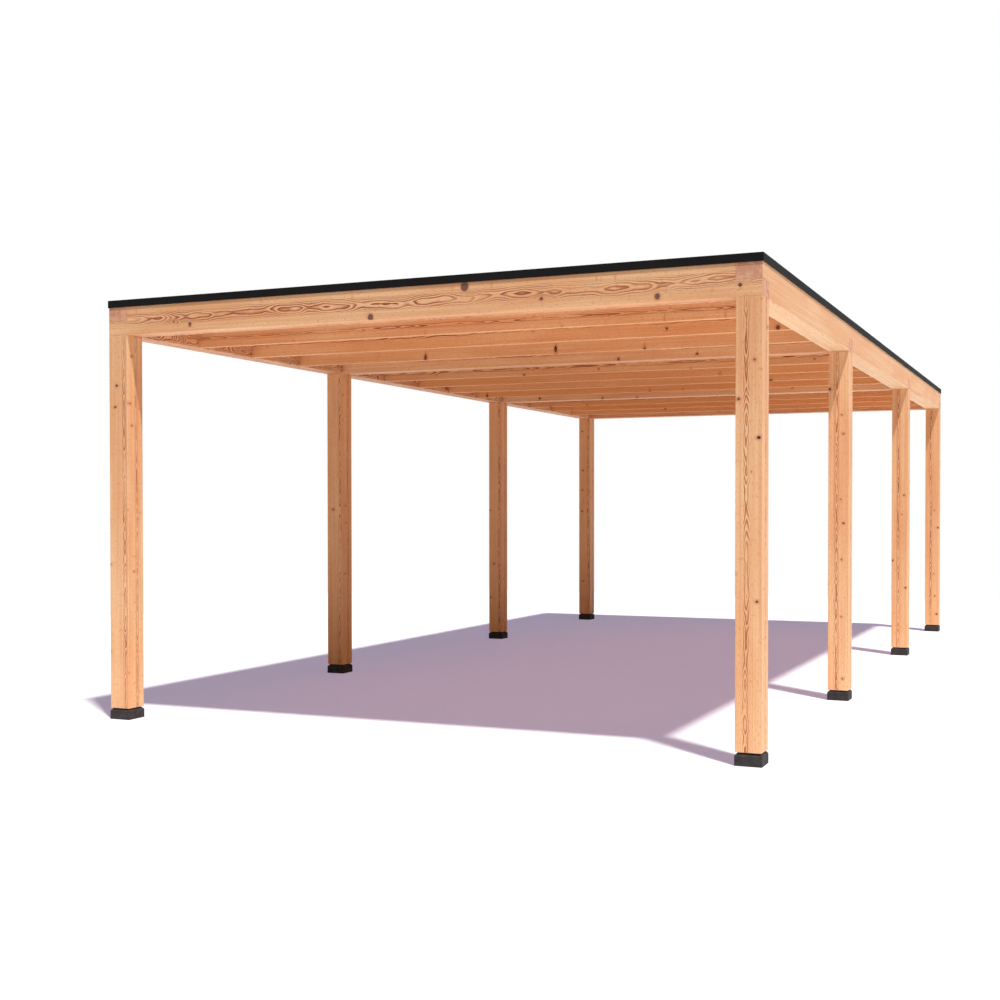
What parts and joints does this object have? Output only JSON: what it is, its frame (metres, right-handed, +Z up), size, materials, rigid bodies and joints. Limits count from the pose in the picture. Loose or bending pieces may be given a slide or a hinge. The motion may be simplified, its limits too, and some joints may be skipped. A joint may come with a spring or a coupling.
{
  "type": "freestanding patio cover",
  "caption": "Open flat-roofed timber patio cover on square posts, with half-lapped beams, joists, concrete blocks and a black roof edge.",
  "frame": {"origin": "on the ground, under the middle of the roof", "axes": "+Z up; Y along the length, with the front row of posts at -Y; X across the width, with the left side at -X"},
  "size_m": [4.435, 8.85, 2.793],
  "materials": {
    "timber": "planed, untreated softwood with reddish grain and dark knots",
    "roof_boards": "planed tongue-and-groove softwood boards",
    "battens": "sawn softwood",
    "concrete": "charcoal cast concrete",
    "membrane": "matt black rubber sheet",
    "edge_trim": "black powder-coated aluminium, satin"
  },
  "bodies": {
    "root": {"left_plinth_1": "concrete", "left_plinth_2": "concrete", "left_plinth_3": "concrete", "left_plinth_4": "concrete", "right_plinth_1": "concrete", "right_plinth_2": "concrete", "right_plinth_3": "concrete", "right_plinth_4": "concrete", "left_post_1": "timber", "left_post_2": "timber", "left_post_3": "timber", "left_post_4": "timber", "right_post_1": "timber", "right_post_2": "timber", "right_post_3": "timber", "right_post_4": "timber", "left_beam": "timber", "right_beam": "timber", "front_beam": "timber", "front_middle_beam": "timber", "back_middle_beam": "timber", "back_beam": "timber", "joist_01": "timber", "joist_02": "timber", "joist_03": "timber", "joist_04": "timber", "joist_05": "timber", "joist_06": "timber", "joist_07": "timber", "joist_08": "timber", "joist_09": "timber", "joist_10": "timber", "roof_deck": "roof_boards", "roof_membrane": "membrane", "front_batten": "battens", "right_batten": "battens", "back_batten": "battens", "left_batten": "battens", "front_trim": "edge_trim", "right_trim": "edge_trim", "back_trim": "edge_trim", "left_trim": "edge_trim"}
  },
  "joints": []
}
